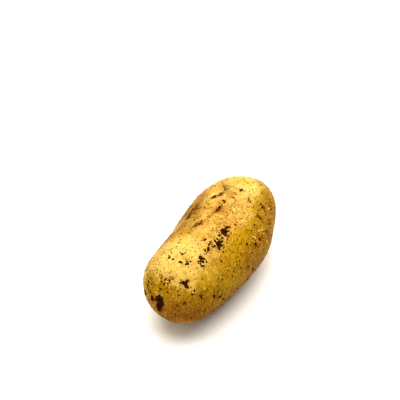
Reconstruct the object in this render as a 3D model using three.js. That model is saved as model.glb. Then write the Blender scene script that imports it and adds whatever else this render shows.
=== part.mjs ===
// A potato: one long oval tuber with yellow waxy skin, lying on its side.
// Millimetres, +Z up. +X runs along the tuber from the stem end to the rose end.
// The origin is on the surface that the tuber rests on, under the middle of its outline.
//
// The tuber grew as one piece, so it is one solid. Its form is a plain oblong body, bowed to one
// side, from which everything else is raised or sunk by a formula: broad swellings and hollows,
// low lumps all over, creases, eyes with their brows, and the scar where the stem was.
//
// A place on the skin is given as two numbers: x, the distance along the tuber from its middle in
// millimetres, and around, the angle in degrees from the top, positive towards -Y.
import * as THREE from "three";
import { mergeVertices } from "three/addons/utils/BufferGeometryUtils.js";

// Driving dimensions of the plain body
const HALF_LENGTH = 49;
const HALF_WIDTH = 23;
const HALF_HEIGHT = 21.4;
const BLUNTNESS = 2.65; // 2 would be an ellipsoid, more gives blunter ends
const BOW = -3.7; // how far the middle is bowed sideways

// How the tuber comes to rest: two small turns, and a flat spot pressed where it touches down
const REST_PITCH_DEG = 0.7;
const REST_ROLL_DEG = -0.9;
const FLAT_DEPTH = 0.65;
const FLAT_BLEND = 0.3;

// Edge lengths of the facets
const PLAIN_EDGE = 3.6;
const FINE_EDGE = 1.2;
const EDGE_GROWTH = 0.75; // how fast facets grow with the distance from a fine detail
const SPLITTING_ROUNDS = 5;

// Swellings and hollows: x, around, turn from lengthwise in degrees, half length, half width, height
const FORMS = [
  [43, 42, 0, 11, 11, 3], // shoulder at the rose end
  [33, -32, 0, 12, 12, 0.6], // the far shoulder beside it
  [39, -3, 0, 12, 12, -0.9], // flattened top between the two
  [36, 84, 0, 13, 13, -0.6],
  [8, 84, 0, 14, 14, 1.3], // belly on the bowed side
  [-11, 112, 0, 16, 16, -1.6],
  [-25, 100, 0, 14, 12, -0.4],
  [-45, 60, 0, 12, 12, 0.8],
  [-47, -105, 0, 11, 11, -1.6], // the stem end is cut away below
  [14, -60, 0, 12, 10, 1.1], // far flank, full towards the rose end
  [-10, -58, 0, 16, 10, -1], // and drawn in behind that
  [-38, -50, 0, 11, 11, 1.4], // far shoulder at the stem end
  [3, -20, 20, 9, 6, -1.5], // hollow that the largest eye sits beside
  [-22, 175, 0, 16, 12, 0.7],
  [22, -130, 0, 14, 12, 1.2],
  [-12, -125, 0, 12, 9, -0.9],
  [30, 165, 0, 12, 10, -0.7],
  [1, 180, 0, 15, 13, 0.9], // the underside swells where it rests
];

// Creases, given in the same way
const CREASES = [
  [22.5, -13, 40, 4, 0.9, -0.55], // slanting fold near the rose end
  [15.6, -21, -26, 1.9, 0.8, -0.4],
  [4, -3, -21, 2.8, 1.1, -0.55], // runs out of the largest eye
  [5, -50, -14, 6, 1, -0.4], // pressed line along the far side
  [-32, -2, 90, 5.5, 0.9, -0.3], // part of a ring near the stem end
  [-20, -110, 75, 6, 1, -0.4],
  [12, 178, 80, 5, 0.9, -0.4],
];

// Eyes, each in the axil of a brow-shaped leaf scar: x, around, width, depth.
// They wind round the tuber and crowd together at the rose end.
const EYES = [
  [6.5, -3, 8.5, 1.1],
  [7.5, 64, 6.5, 0.7],
  [26, 8, 6, 0.6],
  [31, 55, 6.5, 0.8],
  [-33, 80, 6, 0.6],
  [-42, 2, 5, 0.4],
  [-14, -92, 8.5, 1.1],
  [-25, 158, 7.5, 0.9],
  [17, 142, 8, 1],
  [29, -78, 7.5, 1],
  [36, -150, 6.5, 0.9],
  [43, 118, 6, 0.8],
  [46, -45, 5.5, 0.8],
];

// Low lumps on a spiral all over the body
const LUMPS = 70;
const LUMP_TURN_DEG = 137.5;
const LUMP_SPREAD = 4.5;
const LUMP_SPREAD_VARIES = 1.5;
const LUMP_HEIGHT = 0.28;

// The scar at the stem end
const SCAR_RADIUS = 2.4;
const SCAR_DEPTH = 0.9;

const SKIN = new THREE.MeshStandardMaterial({ color: 0xd9a63c, roughness: 0.55, metalness: 0 });

const radians = THREE.MathUtils.degToRad;

// The plain body's surface in one direction from its middle, before it is bowed
function oblong(direction) {
  const across = Math.hypot(direction.y / HALF_WIDTH, direction.z / HALF_HEIGHT);
  const along = Math.abs(direction.x / HALF_LENGTH);
  const reach = (along ** BLUNTNESS + across ** BLUNTNESS) ** (-1 / BLUNTNESS);
  return direction.clone().multiplyScalar(reach);
}

// The way out of the plain body at a point of it
function outward(point) {
  const across = Math.hypot(point.y / HALF_WIDTH, point.z / HALF_HEIGHT);
  const along = Math.abs(point.x / HALF_LENGTH);
  return new THREE.Vector3(
    (Math.sign(point.x) * along ** (BLUNTNESS - 1)) / HALF_LENGTH,
    (across ** (BLUNTNESS - 2) * point.y) / HALF_WIDTH ** 2,
    (across ** (BLUNTNESS - 2) * point.z) / HALF_HEIGHT ** 2,
  ).normalize();
}

function bowed(point) {
  const share = point.x / HALF_LENGTH;
  return point.clone().add(new THREE.Vector3(0, BOW * (1 - share * share), 0));
}

// A place on the skin with its own axes: along the tuber, across it, and out of it
function place(x, aroundDeg, turnDeg = 0) {
  const radius = (1 - Math.abs(x / HALF_LENGTH) ** BLUNTNESS) ** (1 / BLUNTNESS);
  const angle = radians(aroundDeg);
  const point = new THREE.Vector3(
    x,
    -HALF_WIDTH * radius * Math.sin(angle),
    HALF_HEIGHT * radius * Math.cos(angle),
  );
  const out = outward(point);
  const across = out.clone().cross(new THREE.Vector3(1, 0, 0)).normalize();
  const along = across.clone().cross(out);
  const turn = radians(turnDeg);
  const turnedAlong = along.clone().multiplyScalar(Math.cos(turn)).addScaledVector(across, Math.sin(turn));
  const turnedAcross = across.clone().multiplyScalar(Math.cos(turn)).addScaledVector(along, -Math.sin(turn));
  return { centre: bowed(point), along: turnedAlong, across: turnedAcross, out };
}

// A smooth oval swelling, or a hollow where its height is negative
function stroke([x, around, turn, halfLength, halfWidth, height]) {
  const at = place(x, around, turn);
  const reach = Math.max(halfLength, halfWidth);
  return (point) => {
    const d = point.clone().sub(at.centre);
    const s = d.dot(at.along) / halfLength;
    const w = d.dot(at.across) / halfWidth;
    const n = d.dot(at.out) / reach;
    return height * Math.exp(-0.5 * (s * s + w * w + n * n));
  };
}

// An eye: a pit with a bud in it, and on its stem side a curved brow with a groove under the brow
function eye([x, around, width, depth]) {
  const at = place(x, around);
  const hump = (a, b) => Math.exp(-a * a - b * b);
  return (point) => {
    const d = point.clone().sub(at.centre);
    const s = d.dot(at.along) / width;
    const c = d.dot(at.across) / width;
    const n = d.dot(at.out) / width;
    const arc = s + 0.42 - 0.45 * c * c;
    const pit = -depth * hump(s / 0.34, c / 0.5);
    const brow = 0.42 * depth * hump(arc / 0.15, c / 0.72);
    const groove = -0.45 * depth * hump((arc - 0.2) / 0.12, c / 0.5);
    const bud = 0.35 * depth * hump(s / 0.13, c / 0.13);
    return (pit + brow + groove + bud) * Math.exp(-0.5 * n * n);
  };
}

// The low lumps, each a quarter turn and more from the last, as small strokes
function lumps() {
  return Array.from({ length: LUMPS }, (_, k) => {
    const x = HALF_LENGTH * (-0.96 + (1.92 * (k + 0.5)) / LUMPS);
    const spread = LUMP_SPREAD + LUMP_SPREAD_VARIES * Math.sin(1.3 * k);
    const height = LUMP_HEIGHT * Math.sin(2.1 * k + 0.5);
    return stroke([x, k * LUMP_TURN_DEG, 0, spread, spread, height]);
  });
}

// A round pit with a low rim, at the tip of the stem end
function scar() {
  const tip = bowed(new THREE.Vector3(-HALF_LENGTH, 0, 0));
  return (point) => {
    const r = point.distanceTo(tip) / SCAR_RADIUS;
    return -SCAR_DEPTH * Math.exp(-(r ** 4)) + 0.3 * SCAR_DEPTH * Math.exp(-(((r - 1.5) / 0.5) ** 2));
  };
}

const RELIEF = [...FORMS.map(stroke), ...lumps(), ...CREASES.map(stroke), ...EYES.map(eye), scar()];

function skin(direction) {
  const plain = oblong(direction);
  const point = bowed(plain);
  const height = RELIEF.reduce((sum, raised) => sum + raised(point), 0);
  return point.addScaledVector(outward(plain), height);
}

// How long a facet's edge may be at a point: short at an eye, a crease and the scar
const FINE_PLACES = [
  ...EYES.map(([x, around, width]) => ({ centre: place(x, around).centre, radius: 0.6 * width })),
  ...CREASES.map(([x, around, , halfLength]) => ({ centre: place(x, around).centre, radius: 0.7 * halfLength })),
  { centre: bowed(new THREE.Vector3(-HALF_LENGTH, 0, 0)), radius: 1.5 * SCAR_RADIUS },
];

function longestEdge(point) {
  const gap = Math.min(...FINE_PLACES.map(({ centre, radius }) => point.distanceTo(centre) - radius));
  return THREE.MathUtils.clamp(FINE_EDGE + EDGE_GROWTH * gap, FINE_EDGE, PLAIN_EDGE);
}

// Cuts each edge that is too long at its middle, and each triangle to match its cut edges
function split(directions, triangles) {
  const middles = new Map();
  const points = directions.map(skin);
  const middleOf = (a, b) => {
    const key = a < b ? `${a} ${b}` : `${b} ${a}`;
    if (!middles.has(key)) {
      const between = points[a].clone().lerp(points[b], 0.5);
      const tooLong = points[a].distanceTo(points[b]) > longestEdge(between);
      middles.set(key, tooLong ? directions.push(directions[a].clone().add(directions[b]).normalize()) - 1 : null);
    }
    return middles.get(key);
  };
  return triangles.flatMap(([a, b, c]) => {
    const cuts = [middleOf(a, b), middleOf(b, c), middleOf(c, a)];
    const count = cuts.filter((m) => m !== null).length;
    if (count === 0) return [[a, b, c]];
    // The corners are renamed so that one cut is always on the first edge, and of two the other is on the second
    let corners = [a, b, c];
    let [p, q, r] = cuts;
    while (p === null || (count === 2 && q === null)) {
      corners = [corners[1], corners[2], corners[0]];
      [p, q, r] = [q, r, p];
    }
    const [i, j, k] = corners;
    if (count === 1) return [[i, p, k], [p, j, k]];
    if (count === 2) return [[i, p, k], [p, q, k], [p, j, q]];
    return [[i, p, r], [p, j, q], [r, q, k], [p, q, r]];
  });
}

// Directions from the tuber's middle, as an icosahedron stretched lengthwise and then refined
function facets() {
  const start = new THREE.IcosahedronGeometry(1, 9);
  start.deleteAttribute("normal");
  start.deleteAttribute("uv");
  const merged = mergeVertices(start);
  const stretch = Math.sqrt(HALF_LENGTH / HALF_WIDTH);
  const position = merged.getAttribute("position");
  const directions = Array.from({ length: position.count }, (_, i) =>
    new THREE.Vector3().fromBufferAttribute(position, i).multiply(new THREE.Vector3(stretch, 1, 1)).normalize(),
  );
  const corners = [...merged.index.array];
  let triangles = Array.from({ length: corners.length / 3 }, (_, i) => corners.slice(3 * i, 3 * i + 3));
  for (let round = 0; round < SPLITTING_ROUNDS; round++) triangles = split(directions, triangles);
  return { directions, triangles };
}

// Presses the lowest part flat at z = 0, with a short smooth shoulder round the flat spot
function press(z) {
  if (z < -FLAT_BLEND) return 0;
  if (z > FLAT_BLEND) return z;
  return (z + FLAT_BLEND) ** 2 / (4 * FLAT_BLEND);
}

function tuber() {
  const { directions, triangles } = facets();
  const geometry = new THREE.BufferGeometry().setFromPoints(directions.map(skin));
  geometry.setIndex(triangles.flat());
  geometry.rotateX(radians(REST_ROLL_DEG)).rotateY(radians(REST_PITCH_DEG));
  geometry.computeBoundingBox();
  const floor = geometry.boundingBox.min.z + FLAT_DEPTH;
  const position = geometry.getAttribute("position");
  for (let i = 0; i < position.count; i++) position.setZ(i, press(position.getZ(i) - floor));
  geometry.computeBoundingBox();
  const middle = geometry.boundingBox.getCenter(new THREE.Vector3());
  geometry.translate(-middle.x, -middle.y, 0);
  geometry.computeVertexNormals();
  const mesh = new THREE.Mesh(geometry, SKIN);
  mesh.name = "tuber";
  return mesh;
}

const potato = new THREE.Group();
potato.name = "potato";
potato.add(tuber());

export default potato;
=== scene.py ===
# %% [markdown]
# # A potato fresh from the ground
#
# A potato is a swollen stem. Its skin is thin and waxy, its eyes are buds, and dry soil clings
# to it. From a step away its form makes it look real: the bow, the shoulders, the hollows and the
# eyes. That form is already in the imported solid. This script dresses it: a finer skin of the same
# form, the colours of the skin, soil that stands up from it, and the photograph's light and camera.
#
# Every shape below is worked out in millimetres, in whole arrays, and becomes metres at the end.

import bpy
import numpy as np
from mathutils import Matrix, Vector


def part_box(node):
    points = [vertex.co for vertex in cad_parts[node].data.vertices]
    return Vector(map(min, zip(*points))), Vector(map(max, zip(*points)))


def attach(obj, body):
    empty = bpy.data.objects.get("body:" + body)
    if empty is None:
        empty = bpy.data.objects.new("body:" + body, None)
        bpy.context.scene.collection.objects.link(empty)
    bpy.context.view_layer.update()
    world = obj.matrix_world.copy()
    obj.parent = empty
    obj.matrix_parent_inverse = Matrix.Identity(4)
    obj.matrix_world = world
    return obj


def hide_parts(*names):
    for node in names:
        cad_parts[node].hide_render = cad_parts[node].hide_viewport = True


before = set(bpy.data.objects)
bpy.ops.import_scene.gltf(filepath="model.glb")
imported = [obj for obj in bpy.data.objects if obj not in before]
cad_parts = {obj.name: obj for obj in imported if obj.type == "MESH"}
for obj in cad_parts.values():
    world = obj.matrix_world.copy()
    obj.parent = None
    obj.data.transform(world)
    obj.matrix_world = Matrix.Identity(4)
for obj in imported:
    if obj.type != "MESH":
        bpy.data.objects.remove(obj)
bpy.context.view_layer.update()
MM = 0.001
tuber_box = np.array([tuple(corner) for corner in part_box("tuber")]) / MM
print("the solid's box in mm:", tuber_box.round(2).tolist())

# %% [markdown]
# ## The plain body
#
# Under all the bumps a long potato is an oblong: fuller than an ellipsoid, bowed to one side. One
# way to make it is to push and pull a sphere by hand. Here it is a formula instead, so that every
# point of the skin, and every crumb on it, can be placed with the same few lines. The numbers are
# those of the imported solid, so the finer skin lies on it and departs from it only by its own grain.

# %% The plain body as a formula
HALF_LENGTH = 49.0
HALF_WIDTH = 23.0
HALF_HEIGHT = 21.4
BLUNTNESS = 2.65
BOW = -3.7


def unit(vectors):
    """Each vector divided by its length."""
    return vectors / np.linalg.norm(vectors, axis=-1, keepdims=True)


def off_axis(points):
    """How far out from the long axis: the length of (y / half width, z / half height)."""
    return np.hypot(points[..., 1] / HALF_WIDTH, points[..., 2] / HALF_HEIGHT)


def oblong(directions):
    """The plain body in each direction: the point where |x / half length| and the share off the
    axis, each raised to the bluntness, add up to one."""
    along = np.abs(directions[..., 0] / HALF_LENGTH) ** BLUNTNESS
    total = along + off_axis(directions) ** BLUNTNESS
    return directions * total[..., None] ** (-1 / BLUNTNESS)


def outward(points):
    """The way out of the plain body: the gradient of that same sum, at length one."""
    along = np.abs(points[..., 0] / HALF_LENGTH) ** (BLUNTNESS - 1) / HALF_LENGTH
    across = off_axis(points) ** (BLUNTNESS - 2)
    slopes = [
        np.sign(points[..., 0]) * along,
        across * points[..., 1] / HALF_WIDTH**2,
        across * points[..., 2] / HALF_HEIGHT**2,
    ]
    return unit(np.stack(slopes, -1))


def bowed(points, way=1):
    """Moves y by bow times (1 - (x / half length)²). With way -1 the bow is taken out again."""
    moved = points.copy()
    moved[..., 1] += way * BOW * (1 - (points[..., 0] / HALF_LENGTH) ** 2)
    return moved


print("the waist is", 2 * HALF_WIDTH, "mm wide and", 2 * HALF_HEIGHT, "mm high before its swellings")

# %% [markdown]
# ## Places on the skin
#
# A gardener says where an eye is by how far along the potato it sits and how far round. The same
# two numbers are used here: x in millimetres from the middle, and the angle from the top, positive
# towards the bowed side. Each place brings its own axes, so that a crease can be turned on the skin.


# %% A place with its axes
def place(x, around, turn=0.0):
    """Centre, along, across and out of places on the plain body: x along it and the angle around
    it in degrees. Along and across are turned within the skin by the last angle."""
    x, angle, twist = np.broadcast_arrays(np.asarray(x, float), np.radians(around), np.radians(turn))
    radius = (1 - np.abs(x / HALF_LENGTH) ** BLUNTNESS) ** (1 / BLUNTNESS)
    ring = [x, -HALF_WIDTH * radius * np.sin(angle), HALF_HEIGHT * radius * np.cos(angle)]
    plain = np.stack(ring, -1)
    out = outward(plain)
    across = unit(np.cross(out, [1.0, 0.0, 0.0]))
    along = np.cross(across, out)
    cosine, sine = np.cos(twist)[..., None], np.sin(twist)[..., None]
    return bowed(plain), along * cosine + across * sine, across * cosine - along * sine, out


def offsets(points, spot):
    """How far points lie from one place, measured along it, across it and out of it."""
    centre, along, across, out = spot
    return (points - centre) @ along, (points - centre) @ across, (points - centre) @ out


# %% [markdown]
# ## The form of this tuber
#
# Its swellings and hollows are smooth bell shapes, stretched and turned. An eye is a pit with a bud
# in it, under a curved brow: the scar of the leaf that once stood there. The stem end carries a
# round scar. All of them are heights that are added up and raised along the way out. Their places
# were chosen one by one, and the heights of those that shape the outline were fitted to the photograph's.

# %% Swellings, creases and eyes
FORMS = [  # x, around, turn, half length, half width, height
    (43, 42, 0, 11, 11, 3),
    (33, -32, 0, 12, 12, 0.6),
    (39, -3, 0, 12, 12, -0.9),
    (36, 84, 0, 13, 13, -0.6),
    (8, 84, 0, 14, 14, 1.3),
    (-11, 112, 0, 16, 16, -1.6),
    (-25, 100, 0, 14, 12, -0.4),
    (-45, 60, 0, 12, 12, 0.8),
    (-47, -105, 0, 11, 11, -1.6),
    (14, -60, 0, 12, 10, 1.1),
    (-10, -58, 0, 16, 10, -1),
    (-38, -50, 0, 11, 11, 1.4),
    (3, -20, 20, 9, 6, -1.5),
    (-22, 175, 0, 16, 12, 0.7),
    (22, -130, 0, 14, 12, 1.2),
    (-12, -125, 0, 12, 9, -0.9),
    (30, 165, 0, 12, 10, -0.7),
    (1, 180, 0, 15, 13, 0.9),
]
CREASES = [
    (22.5, -13, 40, 4, 0.9, -0.55),
    (15.6, -21, -26, 1.9, 0.8, -0.4),
    (4, -3, -21, 2.8, 1.1, -0.55),
    (5, -50, -14, 6, 1, -0.4),
    (-32, -2, 90, 5.5, 0.9, -0.3),
    (-20, -110, 75, 6, 1, -0.4),
    (12, 178, 80, 5, 0.9, -0.4),
]
EYES = [  # x, around, width, depth
    (6.5, -3, 8.5, 1.1),
    (7.5, 64, 6.5, 0.7),
    (26, 8, 6, 0.6),
    (31, 55, 6.5, 0.8),
    (-33, 80, 6, 0.6),
    (-42, 2, 5, 0.4),
    (-14, -92, 8.5, 1.1),
    (-25, 158, 7.5, 0.9),
    (17, 142, 8, 1),
    (29, -78, 7.5, 1),
    (36, -150, 6.5, 0.9),
    (43, 118, 6, 0.8),
    (46, -45, 5.5, 0.8),
]
print(len(FORMS), "swellings and hollows,", len(CREASES), "creases and", len(EYES), "eyes")

# %% A bell and an eye
BROW_BACK, BROW_CURVE = 0.42, 0.45
PIT_LENGTH, PIT_WIDTH = 0.34, 0.5
BROW_HEIGHT, BROW_THICKNESS, BROW_WIDTH = 0.42, 0.15, 0.72
GROOVE_DEPTH, GROOVE_THICKNESS, GROOVE_WIDTH, GROOVE_INSIDE = 0.45, 0.12, 0.5, 0.2
BUD_HEIGHT, BUD_SIZE = 0.35, 0.13


def stroke(points, x, around, turn, half_length, half_width, height):
    """A bell: height times e to the minus half of the squared distance, counted in half lengths
    along, half widths across, and the larger of the two outwards."""
    s, w, n = offsets(points, place(x, around, turn))
    far = (s / half_length) ** 2 + (w / half_width) ** 2 + (n / max(half_length, half_width)) ** 2
    return height * np.exp(-0.5 * far)


def hump(a, b):
    """A round bump of height one: e to the minus (a² + b²)."""
    return np.exp(-a * a - b * b)


def eye(points, x, around, width, depth):
    """An eye's height, with all lengths counted in its width: a pit, a brow along the parabola
    s = curve times c² minus back, a groove just inside the brow, and a bud in the middle."""
    s, c, n = (distance / width for distance in offsets(points, place(x, around)))
    arc = s + BROW_BACK - BROW_CURVE * c * c
    pit = -hump(s / PIT_LENGTH, c / PIT_WIDTH)
    brow = BROW_HEIGHT * hump(arc / BROW_THICKNESS, c / BROW_WIDTH)
    groove = -GROOVE_DEPTH * hump((arc - GROOVE_INSIDE) / GROOVE_THICKNESS, c / GROOVE_WIDTH)
    bud = BUD_HEIGHT * hump(s / BUD_SIZE, c / BUD_SIZE)
    return depth * (pit + brow + groove + bud) * np.exp(-0.5 * n * n)


print("an eye 8 mm wide has a brow", round(BROW_BACK * 8, 1), "mm behind its pit")

# %% Lumps, the scar and the sum
LUMPS = 70
LUMP_REACH = 0.96
LUMP_SPREAD, SPREAD_RANGE, LUMP_HEIGHT = 4.5, 1.5, 0.28
GOLDEN_ANGLE = 137.5
SCAR_RADIUS, SCAR_DEPTH = 2.4, 0.9
RIM_SHARE, RIM_PLACE, RIM_WIDTH = 0.3, 1.5, 0.5


def lump(k):
    """The values of lump number k: a small bell, one step along the body and the golden angle
    round. Spread and height go up and down with the sine of k, so that no two are alike."""
    spread = LUMP_SPREAD + SPREAD_RANGE * np.sin(1.3 * k)
    x = HALF_LENGTH * (-LUMP_REACH + 2 * LUMP_REACH * (k + 0.5) / LUMPS)
    return x, GOLDEN_ANGLE * k, 0, spread, spread, LUMP_HEIGHT * np.sin(2.1 * k + 0.5)


def scar(points):
    """The stem scar, with r counted in its radius: a flat-bottomed pit, e to the minus r to the
    fourth, and a low rim outside it."""
    r = np.linalg.norm(points - [-HALF_LENGTH, 0, 0], axis=-1) / SCAR_RADIUS
    rim = RIM_SHARE * SCAR_DEPTH * np.exp(-(((r - RIM_PLACE) / RIM_WIDTH) ** 2))
    return -SCAR_DEPTH * np.exp(-(r**4)) + rim


def relief(points):
    """All heights added up."""
    strokes = sum(stroke(points, *f) for f in FORMS + CREASES + [lump(k) for k in range(LUMPS)])
    return strokes + sum(eye(points, *e) for e in EYES) + scar(points)


print("relief: the swellings, creases and eyes,", LUMPS, "low lumps and the stem scar")

# %% [markdown]
# ## Roughness without a brush
#
# Skin and soil are uneven at every scale. Random numbers on a lattice, blended smoothly between its
# points, give that unevenness anywhere in space. The lattice is seeded, so each run is the same.

# %% Smooth random heights
LATTICE_CELLS = 32
LATTICE_SHIFT = 57.3
OCTAVE_SHIFT = 3.1
LATTICE = np.random.default_rng(5).uniform(-1, 1, (LATTICE_CELLS, LATTICE_CELLS, LATTICE_CELLS))
DIMPLE_SIZE, DIMPLE_HEIGHT = 3.2, 0.1
WRINKLE_SIZE, WRINKLE_DEPTH, WRINKLE_SHARPNESS = 2.1, 0.05, 0.12


def unevenness(points, size, octaves=1):
    """Random numbers on a lattice with cells of that size, blended between a cell's eight corners
    with the curve 3t² - 2t³. Each further octave has half the size and half the height."""
    cell = points / size + LATTICE_SHIFT
    low = np.floor(cell).astype(int)
    t = cell - low
    t = t * t * (3 - 2 * t)
    total = 0
    for corner in np.ndindex(2, 2, 2):
        weight = np.prod(np.where(corner, t, 1 - t), axis=-1)
        i, j, k = np.moveaxis((low + corner) % LATTICE_CELLS, -1, 0)
        total = total + weight * LATTICE[i, j, k]
    if octaves > 1:
        total = total + 0.5 * unevenness(points + OCTAVE_SHIFT, size / 2, octaves - 1)
    return total


def grain(points):
    """The skin's own fine relief in millimetres: soft dimples, and a net of low wrinkles that
    follow the places where another unevenness passes through zero."""
    dimples = DIMPLE_HEIGHT * unevenness(points, DIMPLE_SIZE, 2)
    wrinkles = np.exp(-((unevenness(points, WRINKLE_SIZE) / WRINKLE_SHARPNESS) ** 2))
    return dimples - WRINKLE_DEPTH * wrinkles


print("grain: dimples of", DIMPLE_HEIGHT, "mm and wrinkles of", WRINKLE_DEPTH, "mm")

# %% [markdown]
# ## How it lies
#
# A potato that is put down rolls until its weight is over the spot that it touches. The same two
# small turns and the same pressed flat spot as in the solid are repeated, and the result is
# measured against the solid's box.

# %% Resting attitude
PITCH, ROLL = np.radians(0.7), np.radians(-0.9)
FLAT_DEPTH, FLAT_BLEND = 0.65, 0.3
roll_turn = np.array([[1, 0, 0], [0, np.cos(ROLL), -np.sin(ROLL)], [0, np.sin(ROLL), np.cos(ROLL)]])
pitch_turn = np.array([[np.cos(PITCH), 0, np.sin(PITCH)], [0, 1, 0], [-np.sin(PITCH), 0, np.cos(PITCH)]])
REST_TURN = pitch_turn @ roll_turn


def raised_skin(directions, lift=0.0):
    """The skin before it is laid down: plain body, bowed, raised by relief and any extra lift."""
    plain = oblong(directions)
    points = bowed(plain)
    return points + outward(plain) * (relief(points) + lift)[..., None]


def press(z):
    """Zero below the floor, z above it, and the parabola (z + blend)² / (4 blend) between."""
    blend = (z + FLAT_BLEND) ** 2 / (4 * FLAT_BLEND)
    return np.where(z < -FLAT_BLEND, 0, np.where(z > FLAT_BLEND, z, blend))


def laid_down(points):
    """Turns points to the resting attitude, presses the lowest flat, and centres the outline."""
    turned = points @ REST_TURN.T
    turned[..., 2] = press(turned[..., 2] - floor_height)
    turned[..., :2] -= middle
    return turned


# %% [markdown]
# ## The skin as a grid
#
# A globe's grid pinches at its poles, and its pinches show in a smooth skin. A box round the tuber
# has none: each of its six sides is a grid of two parameters, pushed out onto the body. Where the
# sides meet, equal points become one, so that the skin is closed.


# %% A box of grids
def box_of_grids(cells):
    """Six square windows from -1 to 1 with the given numbers of cells along x, y and z. Lines are
    spaced by the tangent of equal angles, so that the cells stay alike once they are pushed out."""
    lines = [np.tan(np.linspace(-np.pi / 4, np.pi / 4, count + 1)) for count in cells]
    points, quads, start = [], [], 0
    for axis in range(3):
        first, second = (axis + 1) % 3, (axis + 2) % 3
        u, v = np.meshgrid(lines[first], lines[second], indexing="ij")
        number = np.arange(u.size).reshape(u.shape)
        cell = np.stack([number[:-1, :-1], number[1:, :-1], number[1:, 1:], number[:-1, 1:]], -1)
        for side in (-1, 1):
            window = np.full((u.size, 3), float(side))
            window[:, first], window[:, second] = u.ravel(), v.ravel()
            points.append(window)
            quads.append(cell.reshape(-1, 4)[:, ::side] + start)
            start += u.size
    welded, number = np.unique(np.round(np.concatenate(points), 6), axis=0, return_inverse=True)
    return welded * [HALF_LENGTH, HALF_WIDTH, HALF_HEIGHT], number.ravel()[np.concatenate(quads)]


SKIN_CELLS = (176, 102, 102)
directions, skin_quads = box_of_grids(SKIN_CELLS)
smooth_points = raised_skin(directions)
turned = smooth_points @ REST_TURN.T
floor_height = turned[:, 2].min() + FLAT_DEPTH
middle = (turned[:, :2].min(0) + turned[:, :2].max(0)) / 2
laid = laid_down(smooth_points)
print("skin:", len(skin_quads), "quads; off the solid's box by at most",
      np.abs([laid.min(0) - tuber_box[0], laid.max(0) - tuber_box[1]]).max().round(3), "mm")


# %% A mesh from arrays
def make_piece(name, points, faces, finish):
    """A mesh object at the origin with its points in metres. It rides on the tuber's body."""
    mesh = bpy.data.meshes.new(name)
    mesh.from_pydata(points * MM, [], faces)
    mesh.shade_smooth()
    mesh.materials.append(finish)
    piece = bpy.data.objects.new(name, mesh)
    bpy.context.scene.collection.objects.link(piece)
    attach(piece, "root")
    print(f"{name}: {len(points)} points, {len(faces)} faces")
    return piece


def paint(piece, name, values):
    """Stores one number per point, which a material reads by that name."""
    layer = piece.data.attributes.new(name, "FLOAT", "POINT")
    layer.data.foreach_set("value", np.asarray(values, np.float32))
    print(f"painted {name}: {np.mean(values):.2f} on average")


# %% [markdown]
# ## Wiring a finish
#
# A procedural finish is a chain of small nodes. A few helpers keep each chain short enough to read:
# every one adds a node and hands back its output. All patterns read Object coordinates, scaled to
# millimetres, so a pattern's scale is its number of repeats in a millimetre.


# %% Helpers for materials
def colour(red, green, blue):
    """A colour as a screen shows it, 0 to 255, turned into the linear light that shaders use."""
    share = np.array([red, green, blue]) / 255
    linear = np.where(share < 0.04045, share / 12.92, ((share + 0.055) / 1.055) ** 2.4)
    return (*linear.tolist(), 1.0)


class Finish:
    """A material, with one short method for each kind of node."""

    def __init__(self, name):
        self.material = bpy.data.materials.new(name)
        self.material.use_nodes = True
        self.tree = self.material.node_tree
        self.shader = self.tree.nodes["Principled BSDF"]
        place_node = self.add("ShaderNodeTexCoord")
        scaled = self.add("ShaderNodeMapping", {"Vector": place_node.outputs["Object"]})
        scaled.inputs["Scale"].default_value = (1 / MM, 1 / MM, 1 / MM)
        self.where = scaled.outputs["Vector"]

    def feed(self, socket, value):
        """Gives a socket a link from another node's output, or else a number or a colour."""
        if isinstance(value, bpy.types.NodeSocket):
            self.tree.links.new(value, socket)
        else:
            socket.default_value = value

    def add(self, kind, inputs=None, **settings):
        """A new node with its settings made and its inputs fed."""
        node = self.tree.nodes.new(kind)
        for key, value in settings.items():
            setattr(node, key, value)
        for key, value in (inputs or {}).items():
            self.feed(node.inputs[key], value)
        return node

    def noise(self, scale, detail, roughness):
        """Cloudy noise from 0 to 1 with that many repeats in a millimetre."""
        settings = {"Vector": self.where, "Scale": scale, "Detail": detail, "Roughness": roughness}
        return self.add("ShaderNodeTexNoise", settings).outputs["Fac"]

    def cells(self, scale):
        """Random cells, by each cell's own colour and by the distance to its middle."""
        return self.add("ShaderNodeTexVoronoi", {"Vector": self.where, "Scale": scale}).outputs

    def painted(self, name):
        """The number painted on the mesh by that name."""
        return self.add("ShaderNodeAttribute", attribute_name=name).outputs["Fac"]

    def ramp(self, value, low, high, start=0.0, end=1.0):
        """Smoothly from start to end as value goes from low to high."""
        settings = {"Value": value, "From Min": low, "From Max": high, "To Min": start, "To Max": end}
        return self.add("ShaderNodeMapRange", settings, interpolation_type="SMOOTHSTEP").outputs["Result"]

    def plus(self, a, b):
        return self.add("ShaderNodeMath", {0: a, 1: b}, operation="ADD").outputs[0]

    def minus(self, a, b):
        return self.add("ShaderNodeMath", {0: a, 1: b}, operation="SUBTRACT").outputs[0]

    def times(self, a, b):
        return self.add("ShaderNodeMath", {0: a, 1: b}, operation="MULTIPLY").outputs[0]

    def mix(self, share, a, b):
        """Colour a where share is 0 and colour b where it is 1."""
        return self.add("ShaderNodeMix", {0: share, 6: a, 7: b}, data_type="RGBA").outputs[2]

    def bump(self, height, distance, under=None):
        """Tilts the shading as if the surface rose by distance, in metres, where height is one."""
        settings = {"Height": height, "Distance": distance}
        if under:
            settings["Normal"] = under
        return self.add("ShaderNodeBump", settings).outputs["Normal"]

    def set(self, **sockets):
        """Sets the shader's own sockets: Base_Color stands for Base Color."""
        for key, value in sockets.items():
            self.feed(self.shader.inputs[key.replace("_", " ")], value)


print("helpers ready: noise, cells, painted, ramp, plus, minus, times, mix, bump and set")
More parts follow.
